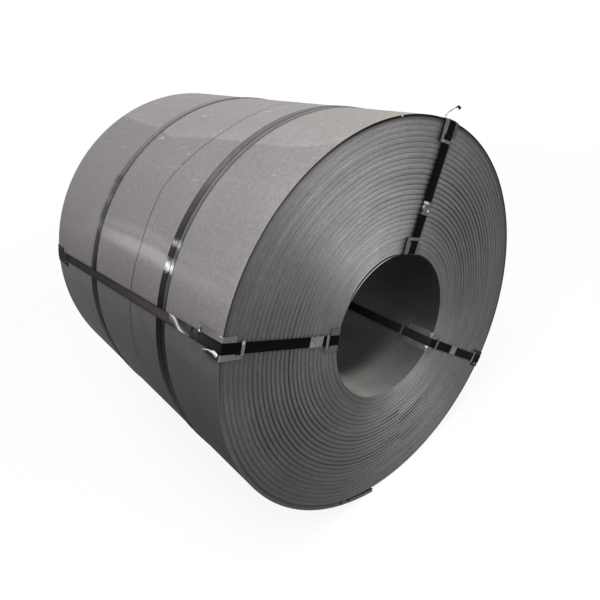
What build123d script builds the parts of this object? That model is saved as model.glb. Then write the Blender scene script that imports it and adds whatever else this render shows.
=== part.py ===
"""A banded coil of thick hot-rolled steel strip, lying on its side.

Y runs along the coil's axis, away from the end that is usually looked at (the near end), and Z is up.
Angles are polar, in degrees, counter-clockwise from +X as the near end is looked at.
Everything is made about the coil's axis with the near end at Y = 0, and moved to its footprint at the end.
"""

import os
from math import acos, atan2, cos, degrees, radians, sin, sqrt

from build123d import *

os.makedirs("parts", exist_ok=True)

# The strip and the way it is wound, on a 20 inch mandrel, 50 inches wide
BORE_RADIUS = 254.0
STRIP_THICKNESS = 15.5
TURNS = 27
WIDTH = 1270.0
RADIUS = BORE_RADIUS + TURNS * STRIP_THICKNESS

# The last lap, which lifts off the coil over this angle and leaves a gap under its tip
TAIL_LAP = 75.0
TAIL_GAP = 8.0
TAIL_CORNER_RADIUS = RADIUS + TAIL_GAP + STRIP_THICKNESS

# The turns on the coil's ends: facets two turns wide, or three on the far end, tilted in and out by
# turns, and some a little proud of the others
RIDGE_DEPTH = 3.0
RIDGE_STAGGER = 0.5
NEAR_FACET_TURNS = 2
FAR_FACET_TURNS = 3

# Steel strapping, 1 1/4 inch wide, and the play that taut straps and seated sheets leave
STRAP_WIDTH = 32.0
STRAP_THICKNESS = 0.9
SEAT = 0.3
LAYER_GAP = 0.1

# Edge protectors: bent sheet under the eye straps, with a hook over the strap at the end of each leg.
# The sheet under the strap and on the margin without the hook stops short of the leg's end.
SHEET = 2.0
BEND_RADIUS = 3.0
RIM_PROTECTOR = {
    "width": 67.0,
    "face_leg": 68.5,
    "face_setback": 25.0,
    "barrel_leg": 111.0,
    "barrel_setback": 45.0,
}
BORE_PROTECTOR = {
    "width": 75.0,
    "face_leg": 52.5,
    "face_setback": 18.0,
    "barrel_leg": 131.0,
    "barrel_setback": 25.0,
}
HOOK_WIDTH = 9.5
HOOK_PLAY = 5.0

# Seals: crimped sleeves on the eye straps, folded caps on the belly straps
SEAL_SHEET = 1.0
SEAL_PLAY = 0.2
NOTCH_LENGTH = 5.0
NOTCH_DEPTH = 3.0
BELLY_SEAL_LENGTH = 60.0
BELLY_FREE_END = 30.0

# The coil rests on its flattest line, where the taut belly straps bridge the step under the tail
BRIDGE = degrees(acos(RADIUS / TAIL_CORNER_RADIUS))
TAIL = 270.0 - BRIDGE

# Eye straps go through the bore and round the wall: their angles at the corners, how far the seal sits
# from the bore protector on the near face, and how far the strap's free end comes out of the seal,
# towards the rim or, where it is negative, towards the bore
EYE_STRAPS = {
    "left": {
        "near_rim": TAIL - 100.05,
        "bore": TAIL - 96.0,
        "far_rim": TAIL - 92.7,
        "seal_place": 16.5,
        "seal_length": 50.0,
        "free_end": 30.0,
    },
    "top": {
        "near_rim": TAIL - 194.5,
        "bore": TAIL - 190.3,
        "far_rim": TAIL - 195.0,
        "seal_place": 73.5,
        "seal_length": 42.0,
        "free_end": 24.0,
    },
    "right": {
        "near_rim": TAIL + 62.7,
        "bore": TAIL + 61.8,
        "far_rim": TAIL + 62.7,
        "seal_place": 105.5,
        "seal_length": 40.0,
        "free_end": -18.0,
    },
}
LAP_TUCK = 3.0
RUN_STEP = 1.2

# Belly straps go round the outside in two pairs: the depth of the over strap's middle behind the near
# end, how the under strap's edge shows on one side of the coil by an overlap and on the other by a
# parting, and the end that it shows towards
OVERLAP_SIDE = TAIL - 120.0
BELLY_PAIRS = {
    "front": {"depth": 336.0, "overlap": 14.5, "parting": 45.5, "under_side": -1},
    "back": {"depth": 857.0, "overlap": 17.0, "parting": 4.0, "under_side": 1},
}
SEAL_ANGLES = {"over": TAIL + 85.0, "under": TAIL + 98.0}

# What follows from the sizes: the straps' heights over the coil, and the centres of their bends
ALONG = Vector(0, 1, 0)
AXIS = Vector(0, 0, 0)
UNDER_LIFT = SEAT
OVER_LIFT = UNDER_LIFT + STRAP_THICKNESS + LAYER_GAP
BELLY_TOP = OVER_LIFT + STRAP_THICKNESS
BORE_CAMBER = BORE_RADIUS - sqrt(BORE_RADIUS**2 - (BORE_PROTECTOR["width"] / 2) ** 2)
FACE_LIFT = max(SEAT + SHEET + SEAT, SEAT + SEAL_SHEET + SEAL_PLAY)
RIM_LIFT = max(SEAT + SHEET + SEAT, BELLY_TOP + SEAT)
BORE_LIFT = BORE_CAMBER + SEAT + SHEET + SEAT
STRAP_BEND = BEND_RADIUS - SEAT + FACE_LIFT
HOOK_LIFT = STRAP_THICKNESS + SEAT


def polar(radius, angle, depth=0.0):
    """A point at a radius and an angle round the coil's axis, and a depth behind the near end."""
    return Vector(radius * cos(radians(angle)), depth, radius * sin(radians(angle)))


def angle_of(point):
    """The angle of a point round the coil's axis."""
    return degrees(atan2(point.Z, point.X))


def swung(shape, angle):
    """The shape, swung round the coil's axis from the +X side to an angle."""
    return Rot(0, -angle, 0) * shape


def arc(centre, radius, start, stop):
    """An arc across the axis, from one angle to a larger one."""
    return ThreePointArc(*[centre + polar(radius, angle) for angle in (start, (start + stop) / 2, stop)])


# The last lap's arc touches the coil's circle where the lap begins and meets its corner at the tail
LAP_START = TAIL - TAIL_LAP
LAP_OFFSET = (TAIL_CORNER_RADIUS**2 - RADIUS**2) / (
    2 * (RADIUS - TAIL_CORNER_RADIUS * cos(radians(TAIL_LAP)))
)
LAP_RADIUS = RADIUS + LAP_OFFSET
LAP_CENTRE = polar(LAP_OFFSET, LAP_START + 180.0)
TAIL_CORNER = polar(TAIL_CORNER_RADIUS, TAIL)
LAP_STOP = angle_of(TAIL_CORNER - LAP_CENTRE) % 360.0


def coil_section():
    """The coil's outline across its axis: a circle with the last lap on it, and the gap under its tip."""
    inner_radius = LAP_RADIUS - STRIP_THICKNESS
    root_cosine = (inner_radius**2 - RADIUS**2 - LAP_OFFSET**2) / (2 * RADIUS * LAP_OFFSET)
    gap_root = LAP_START + degrees(acos(root_cosine))
    gap_start = angle_of(polar(RADIUS, gap_root) - LAP_CENTRE) % 360.0
    outline = [
        arc(AXIS, RADIUS, gap_root, LAP_START + 360.0),
        arc(LAP_CENTRE, LAP_RADIUS, LAP_START, LAP_STOP),
        Line(TAIL_CORNER, LAP_CENTRE + polar(inner_radius, LAP_STOP)),
        arc(LAP_CENTRE, inner_radius, gap_start, LAP_STOP),
    ]
    return make_face(outline)


def end_cutter(facet_turns):
    """What is turned off the near end, to leave the turns' edges as tilted facets."""
    clear, step = -50.0, facet_turns * STRIP_THICKNESS
    past = STRIP_THICKNESS / 10
    profile = [(BORE_RADIUS - past, RIDGE_DEPTH)]
    for facet in range(1, TURNS // facet_turns + 1):
        depth = RIDGE_STAGGER * (1 + sin(2.4 * facet)) + RIDGE_DEPTH * ((facet + 1) % 2)
        profile.append((BORE_RADIUS + facet * step, depth))
    profile[-1] = (RADIUS + past, RIDGE_DEPTH)
    profile.append((RADIUS + past + STRIP_THICKNESS, 0.0))
    profile.append((RADIUS + past + 2 * STRIP_THICKNESS, RIDGE_DEPTH))
    first, last = profile[0][0], profile[-1][0]
    outline = Polyline(*profile, (last, clear), (first, clear), close=True)
    return revolve(make_face(outline), axis=Axis.Y)


def coil():
    """The wound strip, as one solid with its bore and with its turns on both ends."""
    body = extrude(coil_section(), amount=WIDTH, dir=ALONG)
    bore = Rot(90, 0, 0) * Cylinder(BORE_RADIUS, 3 * WIDTH)
    far_cutter = AT_FAR_END * end_cutter(FAR_FACET_TURNS)
    return body - bore - end_cutter(NEAR_FACET_TURNS) - far_cutter


def wrap(lift):
    """The outline of a taut hoop that stands off the coil: its arcs, and a straight bridge under the tail."""
    outline = [
        arc(AXIS, RADIUS + lift, 270.0, LAP_START + 360.0),
        arc(LAP_CENTRE, LAP_RADIUS + lift, LAP_START, LAP_STOP),
        arc(TAIL_CORNER, lift, LAP_STOP, 270.0),
        Line(TAIL_CORNER + polar(lift, 270.0), polar(RADIUS + lift, 270.0)),
    ]
    return make_face(outline)


def hoop(lift, thickness, plane, width):
    """A flat band round the coil, in a plane across it."""
    band = extrude(wrap(lift + thickness) - wrap(lift), amount=WIDTH, dir=ALONG)
    return band & plane * Box(4 * RADIUS, 4 * RADIUS, width)


def sector(angle, length):
    """A block that takes a length of hoop at an angle."""
    return swung(Pos(RADIUS, WIDTH / 2, 0) * Box(RADIUS, WIDTH, length), angle)


def belly_plane(pair, layer):
    """The plane of a belly strap: across the coil, with the under strap fanned out from the over strap."""
    normal = ALONG
    depth = pair["depth"]
    if layer == "under":
        shift = STRAP_WIDTH + (pair["parting"] - pair["overlap"]) / 2
        fan = (pair["parting"] + pair["overlap"]) / 2 / RADIUS
        depth += pair["under_side"] * shift
        normal = ALONG + polar(pair["under_side"] * fan, OVERLAP_SIDE)
    return Plane(origin=(0, depth, 0), x_dir=(1, 0, 0), z_dir=normal)


def belly_strap(plane, lift, seal_angle):
    """A taut hoop, with its free end lying on it past the seal."""
    band = hoop(lift, STRAP_THICKNESS, plane, STRAP_WIDTH)
    lap_length = BELLY_SEAL_LENGTH + 2 * BELLY_FREE_END
    lap = hoop(lift + STRAP_THICKNESS, STRAP_THICKNESS, plane, STRAP_WIDTH)
    return band + (lap & sector(seal_angle, lap_length))


def belly_seal(plane, lift, seal_angle):
    """A folded cap over the two layers of a belly strap, with a flange down each side."""
    inside = 2 * STRAP_THICKNESS + SEAL_PLAY
    inner_width = STRAP_WIDTH + 2 * SEAL_PLAY
    cap = hoop(lift, inside + SEAL_SHEET, plane, inner_width + 2 * SEAL_SHEET)
    hollow = hoop(lift - SEAT / 2, inside + SEAT / 2, plane, inner_width)
    return (cap & sector(seal_angle, BELLY_SEAL_LENGTH)) - hollow


def strap_corners(centre, angle, outward):
    """The strap's four corners where it is cut across: its width along the turns, its thickness outward."""
    across = polar(STRAP_WIDTH / 2, angle + 90.0)
    sides = [centre - across, centre + across]
    return sides + [side + outward * STRAP_THICKNESS for side in sides]


def barrel_run(radius, outward, near_angle, far_angle):
    """A run of strap along the coil, outside or in the bore, in short steps where its angle changes."""
    steps = max(1, round(abs(far_angle - near_angle) / RUN_STEP))
    near, far = BEND_RADIUS - SEAT, WIDTH - BEND_RADIUS + SEAT
    cuts = []
    for step in range(steps + 1):
        share = step / steps
        angle = near_angle + share * (far_angle - near_angle)
        centre = polar(radius, angle, near + share * (far - near))
        cuts.append(strap_corners(centre, angle, polar(outward, angle)))
    return [ConvexPolyhedron(one + other) for one, other in zip(cuts, cuts[1:])]


def face_run(start, stop, angles, outward):
    """A run of strap straight across one end of the coil."""
    return ConvexPolyhedron(strap_corners(start, angles[0], outward) + strap_corners(stop, angles[1], outward))


def bend(radius, side, near):
    """A quarter turn of strap round a corner of the coil, on the +X side: side is 1 at the rim, -1 in the bore."""
    end, middle = (-1 if near else 1), sqrt(0.5)
    depth = BEND_RADIUS - SEAT if near else WIDTH - BEND_RADIUS + SEAT
    inner, outer = STRAP_BEND, STRAP_BEND + STRAP_THICKNESS

    def at(reach, out, back):
        return Vector(radius + side * out * reach, depth + end * back * reach, 0)

    outline = [
        ThreePointArc(at(inner, 1, 0), at(inner, middle, middle), at(inner, 0, 1)),
        Line(at(inner, 0, 1), at(outer, 0, 1)),
        ThreePointArc(at(outer, 0, 1), at(outer, middle, middle), at(outer, 1, 0)),
        Line(at(outer, 1, 0), at(inner, 1, 0)),
    ]
    return extrude(make_face(outline), amount=STRAP_WIDTH / 2, dir=(0, 0, 1), both=True)


RIM_BEND = RADIUS + RIM_LIFT - STRAP_BEND
BORE_BEND = BORE_RADIUS - BORE_LIFT + STRAP_BEND


def face_point(strap, radius, lift=0.0, rim="near_rim"):
    """A point on an eye strap's run down the near face, at a radius, by its place between the corners."""
    top = polar(RIM_BEND, strap[rim], -FACE_LIFT - lift)
    foot = polar(BORE_BEND, strap["bore"], -FACE_LIFT - lift)
    return top + (foot - top) * ((RIM_BEND - radius) / (RIM_BEND - BORE_BEND))


def seal_middle(strap):
    """The radius of the middle of an eye strap's seal."""
    return BORE_RADIUS + BORE_PROTECTOR["face_leg"] + strap["seal_place"] + strap["seal_length"] / 2


def eye_strap(strap):
    """A strap through the bore and round the wall, with its free end lying on it past the seal."""
    near_rim, bore, far_rim = strap["near_rim"], strap["bore"], strap["far_rim"]
    far_depth = WIDTH + FACE_LIFT
    bends = [
        swung(bend(RIM_BEND, 1, True), near_rim),
        swung(bend(BORE_BEND, -1, True), bore),
        swung(bend(BORE_BEND, -1, False), bore),
        swung(bend(RIM_BEND, 1, False), far_rim),
    ]
    near_ends = (polar(RIM_BEND, near_rim, -FACE_LIFT), polar(BORE_BEND, bore, -FACE_LIFT))
    far_ends = (polar(BORE_BEND, bore, far_depth), polar(RIM_BEND, far_rim, far_depth))
    faces = [
        face_run(*near_ends, (near_rim, bore), -ALONG),
        face_run(*far_ends, (bore, far_rim), ALONG),
    ]
    inside = barrel_run(BORE_RADIUS - BORE_LIFT, -1, bore, bore)
    outside = barrel_run(RADIUS + RIM_LIFT, 1, near_rim, far_rim)

    half_lap = LAP_TUCK + strap["seal_length"] / 2
    middle, free_end = seal_middle(strap), strap["free_end"]
    lap_start = face_point(strap, middle + half_lap + max(free_end, 0), STRAP_THICKNESS)
    lap_stop = face_point(strap, middle - half_lap + min(free_end, 0), STRAP_THICKNESS)
    lap_angle = (near_rim + bore) / 2
    lap = face_run(lap_start, lap_stop, (lap_angle, lap_angle), -ALONG)
    return Part() + bends + faces + inside + outside + lap


def strap_seal(strap):
    """A sleeve round the two layers of an eye strap, with crimp notches down both sides."""
    middle = face_point(strap, seal_middle(strap), STRAP_THICKNESS)
    along = face_point(strap, BORE_RADIUS, STRAP_THICKNESS) - middle
    length = strap["seal_length"]
    width = STRAP_WIDTH + 2 * SEAL_PLAY
    height = 2 * STRAP_THICKNESS + 2 * SEAL_PLAY
    sleeve = Box(length, width + 2 * SEAL_SHEET, height + 2 * SEAL_SHEET) - Box(2 * length, width, height)
    for x in (-length / 4, length / 4):
        for side in (-1, 1):
            y = side * (width / 2 + SEAL_SHEET)
            sleeve -= Pos(x, y, 0) * Box(NOTCH_LENGTH, 2 * NOTCH_DEPTH, 3 * height)
    return Plane(origin=middle, x_dir=along, z_dir=-ALONG) * sleeve


def hook(width, base, bar, side):
    """A tab on one margin of a protector that rises beside the strap and crosses over it.

    Its outline is across the strap: X along the coil's turns, Y up from the coil's surface.
    """
    edge, clear, rise = width / 2, STRAP_WIDTH / 2 + HOOK_PLAY, bar - base
    shoulder = SHEET * (sqrt(2) - 1)
    outline = [
        (edge, base),
        (clear + rise, base),
        (clear, bar),
        (-clear, bar),
        (-clear, bar + SHEET),
        (clear + shoulder, bar + SHEET),
        (clear + shoulder + rise, base + SHEET),
        (edge, base + SHEET),
    ]
    points = [(side * across, height) for across, height in outline]
    return extrude(make_face(Polyline(*points, close=True)), amount=HOOK_WIDTH, dir=(0, 0, 1))


def edge_protector(size, corner_radius, side):
    """Sheet bent over a corner of the coil at the near end, on the +X side: side is 1 at the rim, -1 in the bore."""
    width, face_leg, barrel_leg = size["width"], size["face_leg"], size["barrel_leg"]
    stand_off = SEAT + (BORE_CAMBER if side < 0 else 0.0)
    middle, centre = sqrt(0.5), Vector(stand_off - BEND_RADIUS, BEND_RADIUS - SEAT, 0)

    def place(out, depth):
        return Vector(corner_radius + side * out, depth, 0)

    def bent(radius):
        ends = [(radius, 0), (middle * radius, -middle * radius), (0, -radius)]
        return ThreePointArc(*[place(centre.X + out, centre.Y + depth) for out, depth in ends])

    inner, outer = bent(BEND_RADIUS), bent(BEND_RADIUS + SHEET)
    section = [
        inner,
        Line(inner @ 1, place(-face_leg, -SEAT)),
        Line(place(-face_leg, -SEAT), place(-face_leg, -SEAT - SHEET)),
        Line(place(-face_leg, -SEAT - SHEET), outer @ 1),
        outer,
        Line(outer @ 0, place(stand_off + SHEET, barrel_leg)),
        Line(place(stand_off + SHEET, barrel_leg), place(stand_off, barrel_leg)),
        Line(place(stand_off, barrel_leg), inner @ 0),
    ]
    sheet = extrude(make_face(section), amount=width / 2, dir=(0, 0, 1), both=True)

    clear, reach = STRAP_WIDTH / 2 + HOOK_PLAY, 4 * BORE_CAMBER + 4 * SHEET
    face_end = corner_radius - side * face_leg
    sheet -= Pos(face_end, 0, clear - width) * Box(2 * size["face_setback"], reach, 2 * width)
    sheet -= Pos(corner_radius, barrel_leg, width - clear) * Box(reach, 2 * size["barrel_setback"], 2 * width)

    face_hook = hook(width, SEAT, FACE_LIFT + HOOK_LIFT, 1)
    barrel_hook = hook(width, stand_off, (RIM_LIFT if side > 0 else BORE_LIFT) + HOOK_LIFT, -1)
    face_start = min(face_end, face_end + side * HOOK_WIDTH)
    barrel_start = barrel_leg - (HOOK_WIDTH if side > 0 else 0.0)
    across_face = Plane(origin=(face_start, 0, 0), x_dir=(0, 0, 1), z_dir=(1, 0, 0))
    across_barrel = Plane(origin=(corner_radius, barrel_start, 0), x_dir=(0, 0, 1), z_dir=(0, side, 0))
    return sheet + across_face * face_hook + across_barrel * barrel_hook


def protector_angle(strap, size, corner_radius, side, rim):
    """Where a protector sits: midway between the strap's angles at its corner and at its face hook."""
    points = [face_point(strap, corner_radius - side * leg, rim=rim) for leg in (0, size["face_leg"])]
    return sum(angle_of(point) for point in points) / 2


def write(shape, name):
    """One named piece, moved from the coil's axis to the middle of its footprint."""
    export_step(TO_FOOTPRINT * shape, f"parts/{name}.step")


TO_FOOTPRINT = Pos(0, -WIDTH / 2, RADIUS + BELLY_TOP)
AT_FAR_END = Pos(0, WIDTH, 0) * Rot(180, 0, 0)

write(coil(), "coil")

for pair_name, pair in BELLY_PAIRS.items():
    for layer, lift in (("over", OVER_LIFT), ("under", UNDER_LIFT)):
        plane = belly_plane(pair, layer)
        write(belly_strap(plane, lift, SEAL_ANGLES[layer]), f"belly_strap_{pair_name}_{layer}")
        write(belly_seal(plane, lift, SEAL_ANGLES[layer]), f"belly_seal_{pair_name}_{layer}")

for place, strap in EYE_STRAPS.items():
    write(eye_strap(strap), f"eye_strap_{place}")
    write(strap_seal(strap), f"strap_seal_{place}")
    for edge, size, corner_radius, side in (
        ("rim", RIM_PROTECTOR, RADIUS, 1),
        ("bore", BORE_PROTECTOR, BORE_RADIUS, -1),
    ):
        protector = edge_protector(size, corner_radius, side)
        near_angle = protector_angle(strap, size, corner_radius, side, "near_rim")
        far_angle = protector_angle(strap, size, corner_radius, side, "far_rim")
        write(swung(protector, near_angle), f"edge_protector_{place}_near_{edge}")
        write(swung(AT_FAR_END * protector, far_angle), f"edge_protector_{place}_far_{edge}")
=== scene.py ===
"""The banded steel coil, dressed in Blender round its CAD frame.

Places on the coil are given as in part.py: an angle round the axis, in degrees counter-clockwise from
+X as the near end is looked at, a radius, and a depth behind the near end, all in metres.
"""

import math

import bmesh
import bpy
from mathutils import Matrix, Vector

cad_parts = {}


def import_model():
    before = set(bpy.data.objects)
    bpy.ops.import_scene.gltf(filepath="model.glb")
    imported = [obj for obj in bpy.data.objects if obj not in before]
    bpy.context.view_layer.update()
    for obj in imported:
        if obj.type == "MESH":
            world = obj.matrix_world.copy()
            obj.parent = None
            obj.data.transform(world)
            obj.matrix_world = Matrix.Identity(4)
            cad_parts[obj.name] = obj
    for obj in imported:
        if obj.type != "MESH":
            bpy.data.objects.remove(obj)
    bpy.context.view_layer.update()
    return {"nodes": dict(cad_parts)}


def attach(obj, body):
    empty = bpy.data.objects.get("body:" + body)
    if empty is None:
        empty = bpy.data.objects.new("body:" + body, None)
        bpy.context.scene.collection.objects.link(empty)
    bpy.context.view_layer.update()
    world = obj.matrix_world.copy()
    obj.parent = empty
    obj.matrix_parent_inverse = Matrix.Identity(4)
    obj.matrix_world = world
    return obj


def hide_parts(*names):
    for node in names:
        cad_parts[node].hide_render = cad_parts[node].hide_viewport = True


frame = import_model()
nodes = frame["nodes"]

# The coil, as in part.py
BORE = 0.254
PITCH = 0.0155
TURNS = 27
RADIUS = BORE + TURNS * PITCH
WIDTH = 1.27
TIP_GAP = 0.008
TIP_RADIUS = RADIUS + TIP_GAP + PITCH
TAIL = 270.0 - math.degrees(math.acos(RADIUS / TIP_RADIUS))
TAIL_LAP = 75.0
AXIS_Z = 0.6747
NEAR_Y = -WIDTH / 2

# What the camera fit gave: the focal length in pixels of a 600-pixel frame, the coil's level axes and
# the middle of its near end as the camera has them (right, down, forward), and how far the resting
# coil is turned from the way it lies in the photograph
FOCAL = 530.594
FRAME_PIXELS = 600
SENSOR = 36.0
LEVEL_X = Vector((0.77085, -0.26422, 0.57964))
LEVEL_Y = Vector((-0.63702, -0.31973, 0.70142))
LEVEL_Z = Vector((0.0, -0.90993, -0.41477))
NEAR_MIDDLE = Vector((0.45811, 0.13572, 2.62559)) * RADIUS
ROLL = math.radians(266.7 - TAIL)


def linked(name, data):
    """A new object in the scene."""
    made = bpy.data.objects.new(name, data)
    bpy.context.scene.collection.objects.link(made)
    return made


def place(radius, angle, depth):
    """A point on the coil, in the row frame."""
    a = math.radians(angle)
    return Vector((radius * math.cos(a), NEAR_Y + depth, AXIS_Z + radius * math.sin(a)))


# ---------------------------------------------------------------- node helpers


def linear(code):
    """An sRGB colour such as "9a9696" as linear RGBA."""
    values = [int(code[i : i + 2], 16) / 255 for i in (0, 2, 4)]
    return tuple(v / 12.92 if v <= 0.04045 else ((v + 0.055) / 1.055) ** 2.4 for v in values) + (1.0,)


class Value:
    """An output in a node tree. Sums, products and comparisons of such values make maths nodes."""

    def __init__(self, paint, socket):
        self.paint = paint
        self.socket = socket

    def __add__(self, other):
        return self.paint.calc("ADD", self, other)

    def __radd__(self, other):
        return self.paint.calc("ADD", other, self)

    def __sub__(self, other):
        return self.paint.calc("SUBTRACT", self, other)

    def __rsub__(self, other):
        return self.paint.calc("SUBTRACT", other, self)

    def __mul__(self, other):
        return self.paint.calc("MULTIPLY", self, other)

    def __rmul__(self, other):
        return self.paint.calc("MULTIPLY", other, self)

    def __truediv__(self, other):
        return self.paint.calc("DIVIDE", self, other)

    def __lt__(self, other):
        return self.paint.calc("LESS_THAN", self, other)

    def __gt__(self, other):
        return self.paint.calc("GREATER_THAN", self, other)

    def __abs__(self):
        return self.paint.calc("ABSOLUTE", self)


class Paint:
    """A material, with short ways to build its node tree."""

    def __init__(self, name, metallic, roughness, specular):
        self.material = bpy.data.materials.new(name)
        self.material.use_nodes = True
        self.tree = self.material.node_tree
        self.shader = self.tree.nodes["Principled BSDF"]
        self.shader.inputs["Metallic"].default_value = metallic
        self.shader.inputs["Roughness"].default_value = roughness
        self.shader.inputs["Specular IOR Level"].default_value = specular
        self.where = Value(self, self.node("ShaderNodeTexCoord").outputs["Object"])

    def node(self, kind, **settings):
        made = self.tree.nodes.new(kind)
        for key, value in settings.items():
            setattr(made, key, value)
        return made

    def set(self, socket, value):
        if isinstance(value, Value):
            self.tree.links.new(value.socket, socket)
        else:
            socket.default_value = linear(value) if isinstance(value, str) else value

    def join(self, made, values, sockets=None):
        """A node with its inputs set, as its first output."""
        for socket, value in zip(sockets or made.inputs, values):
            self.set(socket, value)
        return Value(self, made.outputs[0])

    def calc(self, operation, *values):
        return self.join(self.node("ShaderNodeMath", operation=operation), values)

    def clamped(self, value):
        """The value, held between 0 and 1 by the node that makes it."""
        value.socket.node.use_clamp = True
        return value

    def most(self, *values):
        total = values[0]
        for value in values[1:]:
            total = self.calc("MAXIMUM", total, value)
        return total

    def within(self, value, low, high):
        return (value > low) * (value < high)

    def vector(self, x, y, z):
        return self.join(self.node("ShaderNodeCombineXYZ"), (x, y, z))

    def split(self, vector):
        made = self.node("ShaderNodeSeparateXYZ")
        self.set(made.inputs[0], vector)
        return [Value(self, socket) for socket in made.outputs]

    def noise(self, vector, scale, detail=2.0, rough=0.5):
        made = self.node("ShaderNodeTexNoise")
        names = ("Vector", "Scale", "Detail", "Roughness")
        return self.join(made, (vector, scale, detail, rough), [made.inputs[name] for name in names])

    def ramp(self, value, stops):
        """A colour ramp from (place, colour) stops, with places from 0 to 1."""
        made = self.node("ShaderNodeValToRGB")
        elements = made.color_ramp.elements
        while len(elements) < len(stops):
            elements.new(0.5)
        for element, (at, colour) in zip(elements, stops):
            element.position = at
            element.color = colour
        return self.join(made, (value,))

    def curve(self, value, *stops):
        """A value through a piecewise curve of (place, height) stops, level beyond the first and last."""
        low, span = stops[0][0], stops[-1][0] - stops[0][0]
        heights = [((at - low) / span, (height, height, height, 1.0)) for at, height in stops]
        return self.ramp((value - low) / span, heights)

    def angle_along(self, depth, stops):
        """An angle in degrees that changes with depth, from (depth, angle) stops."""
        return self.curve(depth, *[(at, angle / 100) for at, angle in stops]) * 100.0

    def colours(self, value, *stops):
        return self.ramp(value, [(at, linear(code)) for at, code in stops])

    def blend(self, share, first, second, mode="MIX"):
        made = self.node("ShaderNodeMix", data_type="RGBA", blend_type=mode)
        for i, value in ((0, share), (6, first), (7, second)):
            self.set(made.inputs[i], value)
        return Value(self, made.outputs[2])

    def tint(self, first, second):
        return self.blend(1.0, first, second, "MULTIPLY")

    def grey(self, value):
        return self.join(self.node("ShaderNodeCombineColor"), (value, value, value))

    def finish(self, colour, gloss, height, distance, strength):
        """The material, with its colour, its roughness and the height of its bumps."""
        self.set(self.shader.inputs["Base Color"], colour)
        self.set(self.shader.inputs["Roughness"], gloss)
        made = self.node("ShaderNodeBump")
        made.inputs["Strength"].default_value = strength
        made.inputs["Distance"].default_value = distance
        self.set(made.inputs["Height"], height)
        self.tree.links.new(made.outputs[0], self.shader.inputs["Normal"])
        return self.material

    def upright(self):
        """Where a place lies to the right of the coil's axis and above it."""
        x, _, z = self.split(self.where)
        return x, z - AXIS_Z

    def polar(self):
        """Angle in degrees from the top towards -X, radius and depth; the angle's seam is at the bottom."""
        x, y, z = self.split(self.where)
        up = z - AXIS_Z
        turn = self.calc("ARCTAN2", x * -1.0, up)
        return turn * (180 / math.pi), self.calc("SQRT", x * x + up * up), y - NEAR_Y

    def by_top_strap(self):
        """How far along the top eye strap's line on the near end a place lies, and how far to its left."""
        x, up = self.upright()
        along_x, along_z = TOP_STRAP
        return x * along_x + up * along_z, up * along_x - x * along_z

    def spot(self, angle, radius, size):
        """A round mark on an end, at an angle and radius as in part.py."""
        x, up = self.upright()
        a = math.radians(angle)
        across, above = x - radius * math.cos(a), up - radius * math.sin(a)
        off = self.calc("SQRT", across * across + above * above)
        return self.curve(off, (0.0, 1.0), (0.7 * size, 1.0), (1.3 * size, 0.0), (2 * size, 0.0))

    def spots(self, marks):
        """Several such marks, from (angle, radius, size, strength)."""
        return self.most(*[self.spot(*mark) * strength for *mark, strength in marks])


# ---------------------------------------------------------------- materials


# Where the tide mark runs on the barrel (depth, angle from the top) and the score line (angle, depth)
TIDE_MARK = (
    (0, 11), (0.035, 12.7), (0.067, 14.5), (0.149, 16), (0.271, 16.9), (0.395, 17.6), (0.535, 18.4),
    (0.637, 19.7), (0.736, 20.9), (0.8, 20.5), (0.893, 18.3), (0.966, 18.5), (1.234, 16.5), (1.27, 16),
)
SCORE_LINE = (
    (-60, 0.54), (-11.7, 0.528), (3.4, 0.505), (13.5, 0.5), (21.2, 0.515), (29.3, 0.536), (37, 0.553),
    (42, 0.543), (53.6, 0.528), (63.7, 0.539), (78.8, 0.545), (120, 0.56),
)
# The middle of the painted highlight band, of the left eye strap and of the painted highlight streak on it
# (depth, angle)
SHINE_LINE = (
    (0.1, 54.2), (0.25, 54.3), (0.45, 54.1), (0.62, 54.8), (0.75, 55.4), (0.95, 57.3), (1.27, 60.5),
)
LEFT_STRAP = ((0, 65), (WIDTH, 72.35))
LEFT_STREAK = (
    (0.1, 68.4), (0.162, 67.7), (0.184, 67.5), (0.201, 67.3), (0.214, 66.9), (0.228, 66), (0.242, 65.35),
    (0.263, 65.1), (0.31, 65.1),
)

# The top eye strap's line on the near end (across, up), and how far to the left of the axis lie its left
# side, the right margin of its protectors, and its seal
TOP_STRAP = (0.5294, 0.8484)
TOP_STRAP_ASIDE = 0.0458
TOP_MARGIN_ASIDE = 0.014
TOP_SEAL_ASIDE = 0.0298

# What tells the pieces apart: the angles from the top between which each eye strap and its protectors
# lie, the radius between the bore and rim protectors, the depth between the ends, and the depth of the
# near end's plates, which the hooks' bars stand in front of
LEFT_ANGLES = (52, 80)
TOP_ANGLES = (-50, 20)
RIGHT_ANGLES = (-150, -90)
MID_RADIUS = 0.4
MIDWAY = 0.5
PLATE_FRONT = -0.003

# Round marks on the near end: angle, radius, size and, where there are several, strength
RIM_NICK = (80.9, 0.6708, 0.0028)
TAIL_NICKS = ((-116.1, 0.6765, 0.0068, 1.0), (-119.4, 0.6796, 0.0062, 1.0))
GLINT_AND_TORN_SPOTS = (
    (-47.39, 0.2485, 0.0045, 1.0), (-36.6, 0.2495, 0.0026, 0.4), (-44.3, 0.6491, 0.003, 0.7),
    (153.88, 0.6114, 0.005, 0.5),
)
SEAL_DOT = (60.56, 0.3941, 0.0042)

SHEET_METALLIC = 0.6
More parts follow.
